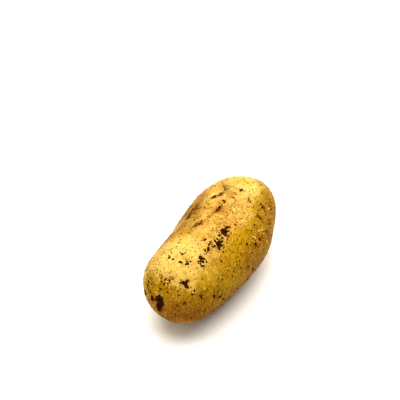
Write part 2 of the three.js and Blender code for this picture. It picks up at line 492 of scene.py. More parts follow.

# %% [markdown]
# ## The finish of the skin
#
# New skin is a waxy yellow film under a thin net of buff cork. Where the cork is rubbed it is pale
# and worn, where it is old it is tanned or ochre. Part of that is not the skin's own colour: the pale
# layer is also painted light on the lit crown and the near flank, the tanned one is also painted
# shade on the ridge of the crown, the ochre one is also painted shade low down and at the edges, and
# a brown layer is painted shade alone, darker on the underside and along both long edges. Freckles,
# russet eyes, grey-brown bruises and stains of soil lie on that. One image could hold it all, but it
# would blur up close. So where each colour shows is painted on the points as a number, and fine noise
# breaks its edge, so that no edge is smoother than real.

# %% Colours
PALE = colour(200, 184, 112)
SCURF = colour(206, 186, 136)
BUFF = colour(188, 145, 77)
WAXY = colour(164, 134, 8)
OCHRE = colour(160, 117, 8)
TAN = colour(126, 89, 22)
TANNED = colour(166, 124, 54)
UMBER = colour(92, 55, 9)
RUSSET = colour(126, 71, 4)
BRUISE = colour(82, 56, 8)
SOIL_DARK = colour(66, 36, 5)
SOIL_BROWN = colour(104, 62, 18)
SOIL_DUST = colour(130, 90, 38)
print("pale skin is", [round(share, 2) for share in PALE[:3]], "in linear light")

# %% Layers of the skin
skin = Finish("potato_skin")
broad = skin.noise(0.07, 3.0, 0.6)
mottled = skin.noise(0.35, 5.0, 0.68)
fine = skin.noise(1.25, 4.0, 0.75)
tone = skin.mix(skin.ramp(broad, 0.4, 0.62), BUFF, PALE)
# Painted light as well as worn skin: paler where the crown and the near flank catch the light.
tone = skin.mix(skin.painted("pale"), tone, PALE)
ragged = skin.plus(skin.painted("waxy"), skin.ramp(mottled, 0.25, 0.75, -0.3, 0.3))
tone = skin.mix(skin.ramp(ragged, 0.34, 0.86), tone, WAXY)
# Painted shade as well as old skin: ochre on the underside and edges, tan on the crown's lit ridge.
tone = skin.mix(skin.painted("ochre_and_shade"), tone, OCHRE)
tone = skin.mix(skin.painted("tanned_and_shade"), tone, TANNED)
# Painted shade: brown towards the underside and along both long edges.
tone = skin.mix(skin.painted("painted_shade"), tone, TAN)
freckled = skin.ramp(skin.painted("pale"), 0.0, 1.0, 0.75, 0.3)
tone = skin.mix(skin.times(skin.ramp(mottled, 0.52, 0.3), freckled), tone, TAN)
tone = skin.mix(skin.ramp(fine, 0.52, 0.66, 0.0, 0.55), tone, SCURF)
tone = skin.mix(skin.times(skin.ramp(fine, 0.47, 0.3), freckled), tone, TAN)
russet = skin.times(skin.painted("russet"), skin.ramp(fine, 0.3, 0.6, 1.25, 0.75))
tone = skin.mix(russet, tone, RUSSET)
bruise = skin.times(skin.painted("bruise"), skin.ramp(fine, 0.3, 0.65, 1.2, 0.6))
tone = skin.mix(bruise, tone, BRUISE)
print("the skin's colours take", len(skin.tree.nodes), "nodes")

# %% [markdown]
# Freckles are small dark dots, one at most in each cell of random cells, and larger where the skin
# is dusty. A stain of soil is a film over all of them. It is duller than the skin, and so are the
# thicker parts of the cork.

# %% Freckles, stains and gloss
FRECKLES = ((0.62, 0.3), (1.15, 0.4))  # cells in a millimetre, largest dot
FRECKLE_STRENGTH, FILM_STRENGTH = 0.8, 0.85
MOTTLED_HEIGHT, FINE_HEIGHT = 0.0005, 0.00018

dusty = skin.painted("dusty")
for repeats, largest in FRECKLES:
    dots = skin.cells(repeats)
    size = skin.times(skin.ramp(dots["Color"], 0.38, 0.8, 0.0, largest), dusty)
    dot = skin.ramp(skin.minus(dots["Distance"], size), 0.03, -0.09)
    tone = skin.mix(skin.times(dot, FRECKLE_STRENGTH), tone, UMBER)

film_edge = skin.plus(skin.painted("film"), skin.ramp(fine, 0.25, 0.75, 0.35, -0.35))
film = skin.ramp(film_edge, 0.35, 0.75)
soil_film = skin.mix(fine, SOIL_DARK, SOIL_DUST)
tone = skin.mix(skin.times(film, FILM_STRENGTH), tone, soil_film)

skin_bump = skin.bump(fine, FINE_HEIGHT, skin.bump(mottled, MOTTLED_HEIGHT))
unpolished = skin.plus(film, skin.ramp(mottled, 0.3, 0.7, 0.0, 0.35))
roughness = skin.ramp(unpolished, 0.0, 1.0, 0.42, 0.85)
skin.set(Base_Color=tone, Roughness=roughness, Normal=skin_bump, IOR=1.45, Specular_IOR_Level=0.1)
skin.set(Subsurface_Weight=0.12, Subsurface_Radius=(1.0, 0.55, 0.2), Subsurface_Scale=0.0015)
print("skin finish has", len(skin.tree.nodes), "nodes")

# %% [markdown]
# ## Where the colours lie
#
# Every potato is marked in its own way. So this one's marks were read off the photograph one at a time,
# and worked out as places on the skin with the camera that stands at the end of this script. The broad
# areas of colour were then corrected where a render still differed from the photograph, some of them
# with painted light and shade. Each is a row: how far along, how far round, which way, how long, how
# wide and how strong. A mark is the same bell that shapes the form. The sides that the photograph hides
# go on in the same manner. An unevenness goes into each colour, so that the areas end in tongues.

# %% The mesh of the skin
on_body = bowed(oblong(directions))
skin_points = laid_down(raised_skin(directions, grain(on_body)))
skin_piece = make_piece("skin", skin_points, skin_quads, skin.material)
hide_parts("tuber")

# %% Marks and their unevenness
AREA_SIZE, AREA_OCTAVES = 7.0, 3


def held(values):
    """Values kept between zero and one."""
    return np.clip(values, 0, 1)


def patch(points, *strokes):
    """Several bells added up and held between zero and one."""
    return held(sum(stroke(points, *values) for values in strokes))


uneven = unevenness(on_body, AREA_SIZE, AREA_OCTAVES)
print("the unevenness goes from", uneven.min().round(2), "to", uneven.max().round(2))

# %% [markdown]
# Russet cork fills the pits of the eyes and follows the creases beside them. Each eye gets a bell
# sized by the eye itself, and the rest is listed.

# %% Russet
TINT_LENGTH, TINT_WIDTH, TINT_STRENGTH = 0.24, 0.36, 0.3
RUSSET_PLACES = [  # x, around, turn, half length, half width, strength
    (2.4, -6, -9, 2.6, 0.9, 0.5),
    (6.6, -4, -30, 1.6, 0.9, 0.55),
    (-45.9, 66, -27, 6, 3, 0.3),
    (-39.3, 64, -69, 4, 2, 0.2),
    (-3, 71, -3, 11, 2.6, 0.25),
    (16.7, -17, -34, 2.2, 1.3, 0.6),
    (-41.5, 34, 0, 2, 1.2, 0.4),
    (-48.2, 48, 0, 1.5, 3, 0.25),
    (4.8, -5, -9, 2, 1, 0.25),
]
eye_russet = sum(
    stroke(on_body, x, around, 0, TINT_LENGTH * width, TINT_WIDTH * width, TINT_STRENGTH * depth)
    for x, around, width, depth in EYES)
placed_russet = patch(on_body, *RUSSET_PLACES)
paint(skin_piece, "russet", held(eye_russet * (1 + 0.5 * uneven) + placed_russet * (1 + 0.7 * uneven)))

# %% [markdown]
# The flanks and the ends were rubbed least, so they are waxiest. Rubbed places within them and
# beside them are taken off again.

# %% Waxy skin
WAXY_PLACES = [  # x, around, turn, half length, half width, strength
    (2, 56, 0, 12, 6, 1),
    (-16, 60, 0, 10, 6, 0.8),
    (-45.6, 42, -57, 4, 2.2, 0.9),
    (-38, 68, 0, 6, 6, 0.5),
    (-29, 50, 0, 6, 4, 0.3),
    (-48, -16, 89, 6, 2.6, 1),
    (-47, 30, -66, 6, 2.8, 1),
    (-46, -62, 0, 4, 5, 0.8),
    (20, 64, 0, 10, 9, 0.8),
    (32, 52, 0, 8, 6, 0.7),
    (-29, 76, 0, 12, 7, 0.9),
    (-20, -80, 0, 22, 7, 0.6),
    (5, 120, 0, 34, 12, 0.8),
    (0, 180, 0, 30, 14, 0.5),
]
RUBBED_PLACES = [  # x, around, turn, half length, half width, strength
    (12, 20, 0, 13, 4.5, 0.45),
    (7, 68, 88, 2.8, 2.6, 0.35),
    (-21.7, 86, -55, 5.2, 2.2, 0.35),
    (28, 30, 0, 4, 3, 0.35),
    (13, 38, 0, 4, 3, 0.3),
    (-29, -28, 0, 4, 4, 0.4),
    (-43.3, 25, -74, 3.5, 1.3, 0.5),
    (-41.6, 45, -54, 3, 1.4, 0.25),
    (-27, 30, 0, 3, 2.5, 0.25),
]
waxy = patch(on_body, *WAXY_PLACES) - patch(on_body, *RUBBED_PLACES)
paint(skin_piece, "waxy", held(waxy + 0.3 * uneven))

# %% [markdown]
# Worn cork is pale and dry. This layer is also painted light: it makes the crown towards both ends
# and the flank beside the stem end paler, where they catch the light.

# %% Pale worn skin and painted light
WORN_AND_LIT_PLACES = [  # x, around, turn, half length, half width, strength
    (30, 5, 0, 9, 9, 1),
    (24, -1, 0, 5, 4, 0.4),
    (-19, -6, 0, 6, 5, 0.5),
    (-32, -14, 0, 9, 8, 0.7),
    (-30, -25, 0, 5, 3, 0.35),
    (-36, 18, 0, 6, 5, 0.3),
    (-37, 60, 0, 8, 6, 0.9),
    (-27, 80, 0, 10, 6, 0.9),
    (-45, 40, -57, 4, 3, 0.9),
    (-46, 5, 0, 4, 6, 0.4),
    (-26, 37, 0, 4, 4, 0.4),
]
# Partly worn skin and partly painted light on the lit crown and the near flank.
worn_and_lit = held(patch(on_body, *WORN_AND_LIT_PLACES) + 0.3 * uneven)
paint(skin_piece, "pale", worn_and_lit)

# %% [markdown]
# Between those two lie older areas: tanned ones across the crown and ochre ones on the low flanks
# where the skin isn't worn. Both also carry painted shade: the tan dulls the ridge of the crown that
# faces the light, and the ochre darkens the underside and the edges. A brown layer after them is
# painted shade alone, darker on the underside and along both long edges.

# %% Tanned skin and painted shade on the crown's ridge
TANNED_AND_SHADE_PLACES = [  # x, around, turn, half length, half width, strength
    (-7, 2, 0, 7, 6, 0.45),
    (-42.3, 11, 0, 2.2, 3, 0.25),
    (-39.8, 31, 0, 2.2, 2.5, 0.25),
    (-21, 33, 0, 5, 4, 0.35),
    (5.5, 5, 0, 3, 2.5, 0.5),
    (15, 2, 0, 4, 4, 0.35),
    (36, -22, 0, 7, 5, 0.4),
    (-32, 8, 0, 11, 7, 0.3),
    (-31, 39, 0, 7, 4, 0.35),
    (39.5, 20, 50, 3, 4, 0.45),
    (4, -30, 0, 6, 5, 0.3),
    (22, 12, 0, 3.5, 3.5, 0.2),
    (-14.5, 9, 0, 5, 4, 0.3),
    (7, 29, 0, 4, 3, 0.35),
    (-3, -36, 15, 9, 3, 0.6),
    (26, -20, 0, 5, 5, 0.4),
    (17, 10, 0, 8, 6, 0.3),
]
# Partly tanned skin and partly painted shade: the rows on the crown's ridge dull it where it faces the
# light.
paint(skin_piece, "tanned_and_shade", held(patch(on_body, *TANNED_AND_SHADE_PLACES) * (1 + 0.6 * uneven)))

# %% Ochre skin and painted shade
OCHRE_AND_SHADE_PLACES = [  # x, around, turn, half length, half width, strength
    (-46, 100, 0, 8, 7, 0.8),
    (-43, 130, 0, 9, 6, 0.7),
    (-48.6, 170, 0, 4, 7, 0.8),
    (-22, 112, 0, 16, 6, 0.6),
    (5, 112, 0, 22, 6, 0.6),
    (30, 59, 32, 12, 5, 0.7),
    (4, 84, 0, 12, 5, 0.5),
    (6, -50, 0, 8, 4, 0.5),
    (-20, 170, 0, 18, 12, 0.4),
    (30, -120, 0, 14, 10, 0.4),
    (-47.5, 85, 0, 3.5, 5, 0.5),
]
# Partly ochre skin and partly painted shade: the rows on the underside and at both long edges darken
# them.
paint(skin_piece, "ochre_and_shade", held(patch(on_body, *OCHRE_AND_SHADE_PLACES) + 0.5 * uneven - worn_and_lit))

# %% Painted shade on the underside and along the edges
PAINTED_SHADE_PLACES = [  # x, around, turn, half length, half width, strength
    (-20, 130, 0, 26, 7, 0.5),
    (18, 128, 0, 22, 7, 0.5),
    (-47.5, 135, 0, 5, 6, 0.5),
    (-48.4, -115, 0, 3, 6, 0.5),
    (24, 50, 0, 8, 5, 0.25),
    (28, 67, 32, 9, 4, 0.3),
    (-34, 94, 0, 8, 5, 0.3),
    (8, 86, 0, 9, 5, 0.4),
    (-3, -55, 0, 8, 5, 0.55),
    (-21, -48, 0, 7, 5, 0.5),
    (9, -53, 0, 6, 4, 0.3),
    (20, -44, 30, 8, 3, 0.4),
]
# Painted shade: darker and browner towards the underside and along both long edges.
paint(skin_piece, "painted_shade", held(patch(on_body, *PAINTED_SHADE_PLACES) * (1 + 0.5 * uneven)))

# %% [markdown]
# A scrape or a knock leaves a grey-brown bruise. It is smaller than those areas, so a finer
# unevenness frets it.

# %% Bruises
BRUISE_FRET = 1.2
BRUISES = [  # x, around, turn, half length, half width, strength
    (26.4, -13, -86, 2.2, 2.3, 0.28),
    (23.4, -10, 50, 3.6, 1.5, 0.4),
    (23.1, -13, 39, 5.5, 0.4, 0.4),
    (2, -38, 1, 5.8, 1.9, 0.8),
    (5, -40, -3, 2.4, 0.6, 0.7),
    (-0.8, -39, 5, 2.6, 0.6, 0.7),
    (-8.5, -14, -24, 2.8, 1.2, 0.9),
    (15, -43, 12, 4.5, 2, 0.3),
]
bruised = patch(on_body, *BRUISES) * (1 + 0.6 * unevenness(on_body, BRUISE_FRET))
paint(skin_piece, "bruise", held(bruised))

# %% [markdown]
# Dirt gathers on the flanks and the ends more than on the crown. One rule says so, and it is used
# twice: here for the size of the freckles, and later for where crumbs lie.

# %% Dust
DUSTY_PLACES = [  # x, around, turn, half length, half width, strength
    (26, 45, 0, 12, 8, 0.6),
    (-44, -40, 0, 8, 8, 0.5),
    (-15, 25, 0, 14, 5, 0.4),
    (-5, 80, 0, 30, 8, 0.4),
    (0, 180, 0, 40, 20, 0.4),
]
FRECKLE_DUST, CRUMB_DUST = 0.55, 0.3


def dustiness(points, base):
    """How much dirt gathers at points, from 0 to 1: a base, half the broad unevenness, and bells
    on the flanks and the ends, added up."""
    return held(base + 0.5 * unevenness(points, AREA_SIZE, AREA_OCTAVES) + patch(points, *DUSTY_PLACES))


paint(skin_piece, "dusty", dustiness(on_body, FRECKLE_DUST))

# %% [markdown]
# Damp soil that is wiped off leaves a stain without thickness. Each stain is one bell, fretted, and
# the finish cuts it to a ragged film. The small ones are freckles that stand out in the photograph.

# %% Stains
STAIN_FRET = 1.1
STAINS = [  # x, around, turn, half length, half width, strength
    (17.1, 5, 86, 1.3, 0.35, 1),
    (6.5, -4, -28, 1.8, 0.6, 1),
    (7.6, -3, 20, 0.8, 0.6, 0.7),
    (14.2, -21, -28, 1.3, 0.7, 0.9),
    (18.3, -14, -32, 1.7, 0.7, 0.6),
    (16.3, -10, -11, 0.6, 0.6, 0.7),
    (25.8, 7, -19, 1.9, 1, 0.6),
    (13, -2, 69, 1, 0.9, 0.6),
    (-17.6, 18, 12, 1.3, 0.25, 0.8),
    (-29, 0, -12, 1.7, 0.25, 0.8),
    (9.7, 18, -3, 1.2, 0.5, 0.8),
    (6.9, 20, -80, 0.9, 0.5, 0.8),
    (7.2, 15, 0, 0.5, 0.5, 0.7),
    (6.3, 29, -36, 0.9, 0.5, 0.8),
    (22.3, 23, -8, 1, 0.5, 0.8),
    (20.7, 26, 40, 0.8, 0.5, 0.7),
    (-46.4, 11, 27, 1, 0.2, 0.8),
    (-9.2, 60, 8, 0.8, 0.4, 0.7),
    (-3, 54, -75, 0.7, 0.6, 0.9),
    (2.1, 64, -60, 0.7, 0.6, 0.9),
    (-1.5, 62, -71, 0.6, 0.5, 0.7),
    (25.1, 44, 50, 3, 1, 0.5),
    (16.1, 46, -83, 1.6, 1.2, 0.5),
    (-15.3, 25, 0.0, 3.2, 2.4, 0.35),
    (-6.9, 23, 20, 2.8, 2.2, 0.35),
    (-28.5, 23, 50, 2.4, 1.8, 0.35),
    (-13.7, 72, -68, 1, 0.7, 0.7),
    (-23.6, 67, -65, 0.7, 0.5, 0.7),
    (-30.5, 88, -53, 1.8, 0.9, 0.6),
    (-20.5, 72, 74, 0.7, 0.5, 0.7),
    (1.3, 68, 80, 0.7, 0.6, 0.7),
    (-2.4, 68, -58, 1.1, 0.7, 0.7),
    (-21.8, 44, 74, 0.7, 0.6, 0.8),
    (-39.8, 64, -63, 1.4, 0.8, 0.6),
    (-37, 61, -62, 0.9, 0.5, 0.6),
    (17.6, -12.5, -20, 2.2, 1.1, 0.5),
    (-41.7, 33, 76, 1.2, 0.7, 0.8),
    (-7.6, 30, -24, 0.7, 0.4, 0.7),
    (-9.2, 31, -14, 0.8, 0.4, 0.7),
    (-12.1, 34, 45, 0.7, 0.4, 0.6),
    (-13.3, 39, 56, 0.7, 0.4, 0.6),
    (27.5, 31, 53, 0.5, 0.5, 0.7),
    (32.1, 35, 64, 0.5, 0.5, 0.7),
    (20.5, 27, 46, 0.8, 0.5, 0.6),
    (34.4, 54, 83, 1.1, 0.7, 0.55),
    (31.5, 57, -64, 1.1, 0.8, 0.5),
    (23.2, 53, -76, 0.8, 0.7, 0.6),
    (25.2, 49, 71, 0.6, 0.5, 0.7),
    (11.1, 28, 69, 0.6, 0.5, 0.6),
    (13.4, 42, 90, 0.5, 0.5, 0.7),
    (8.5, 56, -78, 0.6, 0.5, 0.7),
    (6.7, 59, -60, 0.6, 0.5, 0.7),
    (4, 37, 75, 0.5, 0.5, 0.6),
    (23.1, 17, 62, 0.5, 0.5, 0.6),
]
paint(skin_piece, "film", patch(on_body, *STAINS) * (1 + 0.5 * unevenness(on_body, STAIN_FRET)))

# %% [markdown]
# ## Soil that clings
#
# Soil dries on the skin as small cakes with ragged arms, thicker in the middle. A flat dark stain
# would look painted on. So each cake is a closed lens: rings of points round its middle, whose reach
# is uneven from spoke to spoke. Its rim dips under the skin, which hides where the two meet.

# %% Where the cakes lie
CAKES = [  # x, around, turn, half length, half width, thickness
    (-48.9, -6, -8, 3.4, 1.9, 0.7),
    (-48.6, -10, 80, 2.1, 2.1, 0.8),
    (-48.97, -124, 61, 2.8, 1.3, 0.6),
    (-48.6, -30, 27, 1.2, 1, 0.6),
    (-48.4, -59, -25, 1.5, 0.9, 0.5),
    (-45.4, -83, -50, 1.4, 0.8, 0.3),
    (-41.6, 26, -61, 1.5, 0.8, 0.5),
    (-40.6, 29, 0, 1.5, 0.7, 0.5),
    (-41.8, 34, 66, 1.5, 0.7, 0.5),
    (-43.4, -4, -15, 0.8, 0.5, 0.3),
    (-43.1, 4, -52, 0.5, 0.5, 0.3),
    (-45, -3, -26, 0.9, 0.4, 0.3),
    (-44.4, 4, 66, 0.5, 0.4, 0.3),
    (-43.4, 5, 20, 0.7, 0.3, 0.3),
    (-27.5, 21, 65, 1.5, 1.2, 0.5),
    (-29.2, 24, -47, 1.6, 0.4, 0.4),
    (-27.2, 25, 71, 0.6, 0.5, 0.4),
    (-30.5, 30, -43, 1.1, 0.6, 0.4),
    (-27.6, 30, -86, 0.5, 0.4, 0.3),
    (-30.4, 26, 51, 0.6, 0.3, 0.3),
    (-34.3, 3, -81, 1.1, 0.6, 0.4),
    (-34.1, 11, -15, 0.7, 0.5, 0.4),
    (-33.5, 13, 55, 0.6, 0.5, 0.4),
    (-31.9, 14, -7, 0.4, 0.3, 0.3),
    (-33.3, -16, 53, 1, 0.5, 0.3),
    (-34, -9, 83, 0.6, 0.5, 0.3),
    (-30.1, -2, -14, 0.6, 0.5, 0.3),
    (-7, 21, 64, 1.8, 1.7, 0.6),
    (-3.7, 22, -25, 1.8, 0.6, 0.5),
    (-5.4, 25, -30, 1.4, 0.5, 0.4),
    (-8.5, 23, 65, 0.9, 0.6, 0.4),
    (-11, 20, -84, 0.6, 0.6, 0.3),
    (-11, 25, -39, 0.8, 0.5, 0.4),
    (-13.4, 21, 79, 0.4, 0.4, 0.3),
    (-15.1, 26, -76, 1.5, 1.5, 0.6),
    (-13.2, 27, -28, 1.3, 0.5, 0.5),
    (-16.5, 29, 54, 0.9, 0.5, 0.5),
    (-18.3, 24, -19, 1.2, 0.5, 0.4),
    (-15.3, 21, 89, 0.8, 0.5, 0.4),
    (-15, 31, -78, 0.7, 0.4, 0.4),
    (-18.9, 18, 13, 1.3, 0.4, 0.4),
    (-21.4, 21, 25, 1.3, 0.6, 0.4),
    (-17.2, 17, 7, 0.9, 0.3, 0.3),
    (-17.4, 10, -12, 1.1, 0.6, 0.3),
    (-23.1, 19, 41, 0.7, 0.4, 0.3),
    (15.7, -21, -13, 1.6, 0.7, 0.3),
    (17.1, -13, -48, 1, 0.5, 0.3),
    (12.7, -3, 66, 0.9, 0.7, 0.3),
    (11.4, -1, -33, 0.5, 0.5, 0.3),
    (8.2, -4, -5, 0.8, 0.5, 0.3),
    (6.3, -4, -41, 1, 0.5, 0.25),
    (-8.3, -16, -20, 2.5, 0.25, 0.15),
    (-9, -13, -26, 2.2, 0.2, 0.12),
    (-6.9, -12, -12, 1.2, 0.5, 0.2),
    (23.1, -14, 39, 1.4, 0.2, 0.1),
    (5.2, -41, -3, 2.2, 0.25, 0.12),
    (-0.8, -40, 5, 2.4, 0.3, 0.12),
    (25.7, 8, -17, 0.9, 0.5, 0.25),
    (26.2, 9, 41, 0.8, 0.4, 0.25),
    (24.4, 41, 53, 0.6, 0.6, 0.3),
    (23.5, 45, 51, 0.8, 0.5, 0.4),
    (16, 49, -85, 0.9, 0.6, 0.4),
    (15.6, 44, -20, 0.6, 0.3, 0.3),
    (7.2, 66, -74, 1.2, 0.5, 0.4),
    (-34, 80, -20, 1.1, 0.9, 0.4),
    (-40, 67, -87, 0.9, 0.5, 0.3),
    (-30.9, 87, -55, 0.7, 0.4, 0.3),
    (-28.3, 98, -53, 0.9, 0.4, 0.3),
    (9.2, 47, 74, 0.5, 0.4, 0.3),
    (4.9, 48, 77, 0.5, 0.4, 0.3),
    (14.2, 68, -58, 0.5, 0.4, 0.3),
    (15.1, 75, -62, 0.6, 0.4, 0.3),
    (-2.9, 55, -76, 0.5, 0.5, 0.3),
    (2, 64, -65, 0.5, 0.5, 0.3),
    (-21.8, 44, 79, 0.4, 0.4, 0.3),
    (-17.3, 37, -32, 0.6, 0.3, 0.3),
    (19.9, 66, -7, 0.7, 0.4, 0.3),
    (-46.5, -9, 31, 0.4, 0.4, 0.3),
    (-45, -51, 11, 0.6, 0.5, 0.3),
    (-44.2, -46, 42, 0.6, 0.4, 0.3),
    (-45.2, -38, 79, 0.4, 0.3, 0.3),
    (-47.1, -49, -29, 0.5, 0.4, 0.3),
    (-42.8, -12, -65, 0.6, 0.3, 0.3),
    (-47.6, 60, -66, 0.6, 0.3, 0.3),
    (-46, 62, 20, 0.6, 0.4, 0.3),
    (-40.9, 49, 60, 0.8, 0.4, 0.3),
    (-42.4, 52, -30, 0.8, 0.4, 0.3),
    (17.1, 5, 86, 1.4, 0.22, 0.15),
    (-7.9, 81, -49, 1, 0.4, 0.3),
    (-3.3, 96, 53, 0.9, 0.5, 0.3),
    (-5.1, 113, -24, 1, 0.6, 0.3),
    (-27.1, 64, 36, 0.5, 0.4, 0.3),
    (-31, 88, -53, 1, 0.4, 0.3),
    (-40.1, 64, -63, 0.9, 0.4, 0.3),
    (-17.4, 31, 45, 1.1, 0.5, 0.35),
    (-15, 31, -51, 0.8, 0.4, 0.3),
    (-8.2, 26, 49, 1.1, 0.7, 0.35),
    (0.5, 27, 76, 0.6, 0.5, 0.3),
]
print(len(CAKES), "cakes of soil, read off the photograph one by one")

# %% [markdown]
# The photograph shows about half of the way round. Behind and underneath, the cakes are drawn at
# random from a seeded generator, small ones far more often than large.

# %% Cakes on the hidden sides
HIDDEN_CAKES = 46
HIDDEN_X, HIDDEN_AROUND = (-38, 40), (155, 260)
SMALLEST_CAKE, CAKE_RANGE = 0.45, 1.9
THINNEST, THICKENING = 0.25, 0.2
cake_rng = np.random.default_rng(21)


def hidden_cakes(count):
    """Rows like those above. The half width is the smallest plus the range times the cube of a
    random number, and the thickness grows with it."""
    size = SMALLEST_CAKE + CAKE_RANGE * cake_rng.random(count) ** 3
    return np.stack([
        cake_rng.uniform(*HIDDEN_X, count),
        cake_rng.uniform(*HIDDEN_AROUND, count),
        cake_rng.uniform(-90, 90, count),
        size * cake_rng.uniform(1.0, 1.7, count),
        size,
        THINNEST + THICKENING * size,
    ], -1)


cake_values = np.concatenate([np.array(CAKES, float), hidden_cakes(HIDDEN_CAKES)])
print(len(cake_values), "cakes in all, up to", 2 * cake_values[:, 3].max().round(1), "mm long")

# %% A ragged lens on the skin
SPOKES, RINGS = 44, 9
LOBES, ARMS, LEAST_REACH = 0.3, 0.4, 0.25
CLOD_SIZE, CLODDINESS = 0.55, 0.7
SHAPE_STEP, CLOD_STEP = 3.7, 9.1
RIM_DEPTH, UNDER_DEPTH = 0.15, 0.25


def lay_on_skin(centre, along, across, s, w, lift):
    """Points s along and w across from a place, dropped onto the laid-down skin, and lifted."""
    flat = centre + along * s[..., None] + across * w[..., None]
    sight = bowed(flat, -1)
    return laid_down(raised_skin(sight, grain(bowed(oblong(sight))) + lift))


def lenses(values):
    """Closed ragged lenses. A point at share t of the way out on a spoke lies t times the reach from
    the middle, where the reach is 1 plus broad lobes plus narrow arms, both an unevenness of the
    spoke's angle. The thickness falls off as 1 - t to the fourth, and the rim lies under the skin."""
    x, around, turn, half_length, half_width, thickness = values.T
    number = np.arange(len(values))
    angle = np.linspace(0, 2 * np.pi, SPOKES, endpoint=False)
    ring = np.stack([np.cos(angle), np.sin(angle), 0 * angle], -1)
    own = np.array([0.0, 0.0, SHAPE_STEP]) * number[:, None, None]
    reach = 1 + LOBES * unevenness(1.3 * ring + own, 1.0, 2) + ARMS * unevenness(5 * ring + own, 1.0)
    reach = np.maximum(reach, LEAST_REACH)[:, None, :]
    t = np.linspace(0, 1, RINGS + 1)[1:, None]
    s = t * reach * np.cos(angle) * half_length[:, None, None]
    w = t * reach * np.sin(angle) * half_width[:, None, None]
    own = CLOD_STEP * number[:, None, None] + 0 * s
    clods = 1 + CLODDINESS * unevenness(np.stack([s, w, own], -1), CLOD_SIZE, 2)
    lift = (thickness[:, None, None] + RIM_DEPTH) * (1 - t**4) * clods - RIM_DEPTH
    centre, along, across, _ = (axis[:, None, None, :] for axis in place(x, around, turn))
    rings = lay_on_skin(centre, along, across, s, w, lift)
    zero = np.zeros((len(values), 1, 1))
    top = lay_on_skin(centre, along, across, zero, zero, thickness[:, None, None])
    under = lay_on_skin(centre, along, across, zero, zero, zero - UNDER_DEPTH)
    points = np.concatenate([top, rings.reshape(len(values), 1, -1, 3), under], 2).reshape(-1, 3)
    return points, lens_faces(len(values))


def lens_faces(count):
    """Faces of lenses numbered pole, rings, pole: fans at the two poles and quads between rings."""
    grid = 1 + np.arange(RINGS * SPOKES).reshape(RINGS, SPOKES)
    after = np.roll(grid, -1, axis=1)
    last = 1 + RINGS * SPOKES
    quads = np.stack([grid[:-1], grid[1:], after[1:], after[:-1]], -1).reshape(-1, 4)
    top = np.stack([np.zeros(SPOKES, int), grid[0], after[0]], -1)
    under = np.stack([np.full(SPOKES, last), after[-1], grid[-1]], -1)
    starts = (last + 1) * np.arange(count)[:, None, None]
    faces = []
    for part in (quads, top, under):
        faces += (starts + part).reshape(-1, part.shape[1]).tolist()
    return faces


print("a lens has", RINGS * SPOKES + 2, "points")

# %% [markdown]
# The finish of soil is dull and rough. It is dark where it holds together and browner where it
# crumbles, and single grains on it are pale with dust. Noise of two sizes gives both.

# %% Cakes of soil
CLOD_HEIGHT, GRIT_HEIGHT = 0.0003, 0.00012
soil = Finish("dry_soil")
clod = soil.noise(1.1, 4.0, 0.65)
grit = soil.noise(6.0, 3.0, 0.7)
earth = soil.mix(soil.ramp(clod, 0.4, 0.75), SOIL_DARK, SOIL_BROWN)
earth = soil.mix(soil.ramp(grit, 0.62, 0.8, 0.0, 0.7), earth, SOIL_DUST)
soil_bump = soil.bump(grit, GRIT_HEIGHT, soil.bump(clod, CLOD_HEIGHT))
soil.set(Base_Color=earth, Roughness=0.92, Specular_IOR_Level=0.2, Normal=soil_bump)

cake_points, cake_faces = lenses(cake_values)
make_piece("soil_cakes", cake_points, cake_faces, soil.material)

# %% [markdown]
# ## Peeled flakes
#
# Where new skin was rubbed it peels in flakes of a millimetre, paler than what is under them. They
# are the same ragged lenses, only thin and light.

# %% Flakes of skin
FLAKES = [  # x, around, turn, half length, half width, thickness
    (-47.6, -23, -61, 0.8, 0.5, 0.16),
    (-47.7, -14, -51, 0.9, 0.5, 0.16),
    (-48.1, -21, -67, 0.8, 0.4, 0.12),
    (-47.4, -31, 26, 0.5, 0.3, 0.12),
    (9.1, 57, -14, 1, 0.6, 0.12),
    (11.3, 60, -21, 1.2, 0.6, 0.12),
    (11.1, 65, -24, 1, 0.4, 0.1),
    (3.8, 57, -65, 1.4, 0.6, 0.12),
    (11.7, 78, -48, 1.2, 0.5, 0.12),
    (0.1, 27, -4, 0.9, 0.5, 0.12),
    (-33.5, 21, -29, 0.6, 0.3, 0.1),
    (18.1, 24, -14, 0.8, 0.4, 0.12),
    (20.3, 17, -24, 0.6, 0.4, 0.1),
    (26.4, 33, -6, 0.9, 0.4, 0.12),
    (32.8, 56, 84, 0.6, 0.6, 0.12),
    (27.3, 55, -13, 1.4, 0.4, 0.12),
    (-9, 6, -20, 0.6, 0.4, 0.1),
    (-41.9, 50, -11, 0.7, 0.4, 0.12),
    (-37.1, 56, -16, 0.7, 0.4, 0.12),
]
HIDDEN_FLAKES = 40
SMALLER = [1, 1, 1, 0.7, 0.6, 0]
THIN = [0, 0, 0, 0, 0, 0.12]
FLAKE_PALE = colour(206, 184, 122)
FLAKE_DARK = colour(178, 142, 64)
FIBRE_HEIGHT = 0.0001

peeled = Finish("peeled_skin")
fibres = peeled.noise(2.5, 3.0, 0.6)
peeled.set(Base_Color=peeled.mix(fibres, FLAKE_PALE, FLAKE_DARK), Roughness=0.6)
peeled.set(Specular_IOR_Level=0.3, Normal=peeled.bump(fibres, FIBRE_HEIGHT))
hidden_flakes = hidden_cakes(HIDDEN_FLAKES) * SMALLER + THIN
flake_points, flake_faces = lenses(np.concatenate([np.array(FLAKES, float), hidden_flakes]))
make_piece("peeled_flakes", flake_points, flake_faces, peeled.material)

# %% [markdown]
# ## Crumbs
#
# Between the cakes lie thousands of single crumbs, few of them larger than a grain of sand. Up close
# each is a small angular stone, so each is an icosahedron whose corners are pushed in and out at
# random. They gather where dirt gathers: on the flanks, at both ends and round the cakes.

